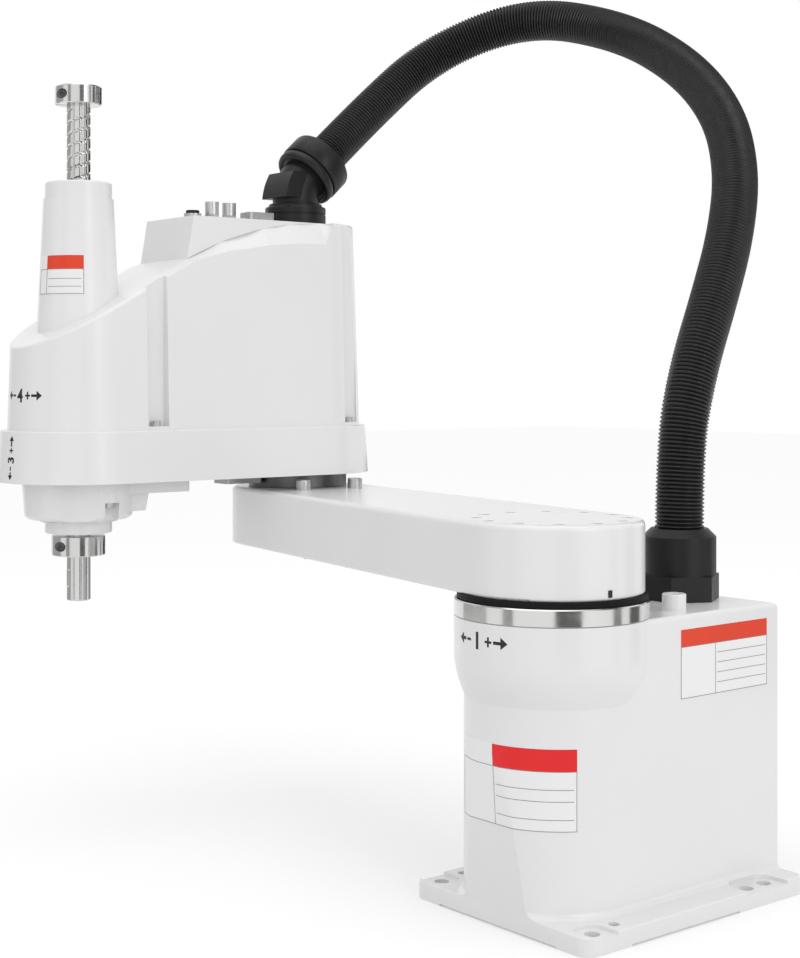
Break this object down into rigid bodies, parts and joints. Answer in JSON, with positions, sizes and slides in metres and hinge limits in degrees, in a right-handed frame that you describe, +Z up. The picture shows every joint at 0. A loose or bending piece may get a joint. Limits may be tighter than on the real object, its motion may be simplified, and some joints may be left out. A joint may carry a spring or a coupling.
{
  "type": "scara robot",
  "caption": "Tabletop SCARA robot: round base column, two horizontal arms, ball-screw spline tool shaft, and a corrugated hose over the joints.",
  "frame": {"origin": "on the underside of the base plate, on the axis of the first joint", "axes": "+Z up along the first joint's axis, +X from the connector side of the base to its round front, +Y to the base's left when seen from behind"},
  "size_m": [0.542, 0.5651, 0.7391],
  "materials": {
    "white_paint": "satin",
    "white_plastic": "satin",
    "black_plastic": "satin",
    "black_hose": "semi-gloss",
    "black_rubber": "matte",
    "black_paint": "satin",
    "bright_steel": "ground",
    "zinc_steel": "zinc plated",
    "dark_steel": "dark oxide",
    "grey_aluminium": "satin"
  },
  "bodies": {
    "base": {"base_casting": "white_paint", "rear_panel": "white_paint", "rear_panel_screws": "zinc_steel", "power_socket": "black_plastic", "signal_socket": "zinc_steel", "rear_air_fittings": "black_plastic", "hose_gland_base": "black_plastic", "hose_nut_base": "black_plastic", "base_top_plug": "white_plastic", "j1_bearing_ring": "bright_steel", "j1_reducer": "dark_steel", "j1_motor": "black_paint", "hose_lower": "black_hose"},
    "arm_1": {"arm_1_casting": "white_paint", "arm_1_screws": "zinc_steel", "arm_1_dowels": "bright_steel", "arm_1_cover": "white_paint", "arm_1_cover_screws": "zinc_steel", "j1_hub": "dark_steel", "j1_seal": "black_rubber", "j2_bearing": "bright_steel", "j2_stop_bolts": "zinc_steel", "hose_upper": "black_hose"},
    "arm_2": {"arm_2_frame": "white_paint", "arm_2_cover": "white_plastic", "cover_screws": "zinc_steel", "shaft_tube": "white_plastic", "tube_cap": "white_plastic", "lower_casing": "white_paint", "lower_casing_screws": "zinc_steel", "shaft_seal_cap": "white_paint", "j2_reducer": "dark_steel", "j2_stop_block": "grey_aluminium", "j2_motor": "black_paint", "motor_plate": "grey_aluminium", "z_motor": "black_paint", "r_motor": "black_paint", "z_belt": "black_rubber", "r_belt": "black_rubber", "spline_bearings": "bright_steel", "nut_bearing": "bright_steel", "nut_housing": "grey_aluminium", "elbow_base": "black_plastic", "elbow_body": "black_plastic", "elbow_nut": "black_plastic", "top_air_fittings": "black_plastic", "top_connector": "zinc_steel", "brake_button_bezel": "zinc_steel"},
    "brake_button": {"brake_button": "black_plastic"},
    "spline_nut": {"spline_nut": "bright_steel"},
    "screw_nut": {"screw_nut": "bright_steel"},
    "z_motor_pulley": {"z_motor_pulley": "grey_aluminium"},
    "r_motor_pulley": {"r_motor_pulley": "grey_aluminium"},
    "shaft": {"ball_screw_spline": "bright_steel", "upper_collar": "bright_steel", "lower_collar": "bright_steel", "collar_screws": "dark_steel"}
  },
  "joints": [
    {"name": "J1_arm_1_turn", "type": "hinge", "parent": "base", "child": "arm_1", "pos_m": [0, 0, 0.23], "axis": [0, 0, 1], "range_deg": [-32, 232], "deforming": ["hose_lower"]},
    {"name": "J2_arm_2_turn", "type": "hinge", "parent": "arm_1", "child": "arm_2", "pos_m": [-0.0712, -0.40377, 0.281], "axis": [0, 0, 1], "range_deg": [-238.5, 41.5], "deforming": ["hose_upper"]},
    {"name": "J4_shaft_turn", "type": "hinge", "parent": "arm_2", "child": "spline_nut", "pos_m": [0.15373, -0.40966, 0.3], "axis": [0, 0, 1], "range_deg": [-360, 360]},
    {"name": "J3_shaft_slide", "type": "slide", "parent": "spline_nut", "child": "shaft", "axis": [0, 0, 1], "range_m": [-0.15, 0]},
    {"name": "screw_nut_turn", "type": "hinge", "parent": "spline_nut", "child": "screw_nut", "pos_m": [0.15373, -0.40966, 0.34], "axis": [0, 0, 1], "range_deg": [-5, 2705]},
    {"name": "z_motor_turn", "type": "hinge", "parent": "arm_2", "child": "z_motor_pulley", "pos_m": [0.05876, -0.40717, 0.34], "axis": [0, 0, 1], "range_deg": [-5, 5405]},
    {"name": "r_motor_turn", "type": "hinge", "parent": "arm_2", "child": "r_motor_pulley", "pos_m": [-0.00122, -0.4056, 0.34], "axis": [0, 0, 1], "range_deg": [-725, 725]},
    {"name": "brake_button_press", "type": "slide", "parent": "arm_2", "child": "brake_button", "axis": [0, 0, -1], "range_m": [0, 0.002], "stiffness_N_per_m": 500}
  ],
  "couplings": [
    {"joint": "screw_nut_turn", "follows": "J3_shaft_slide", "rad_per_m": -314.16},
    {"joint": "z_motor_turn", "follows": "J3_shaft_slide", "rad_per_m": -628.32},
    {"joint": "r_motor_turn", "follows": "J4_shaft_turn", "ratio": 2}
  ]
}
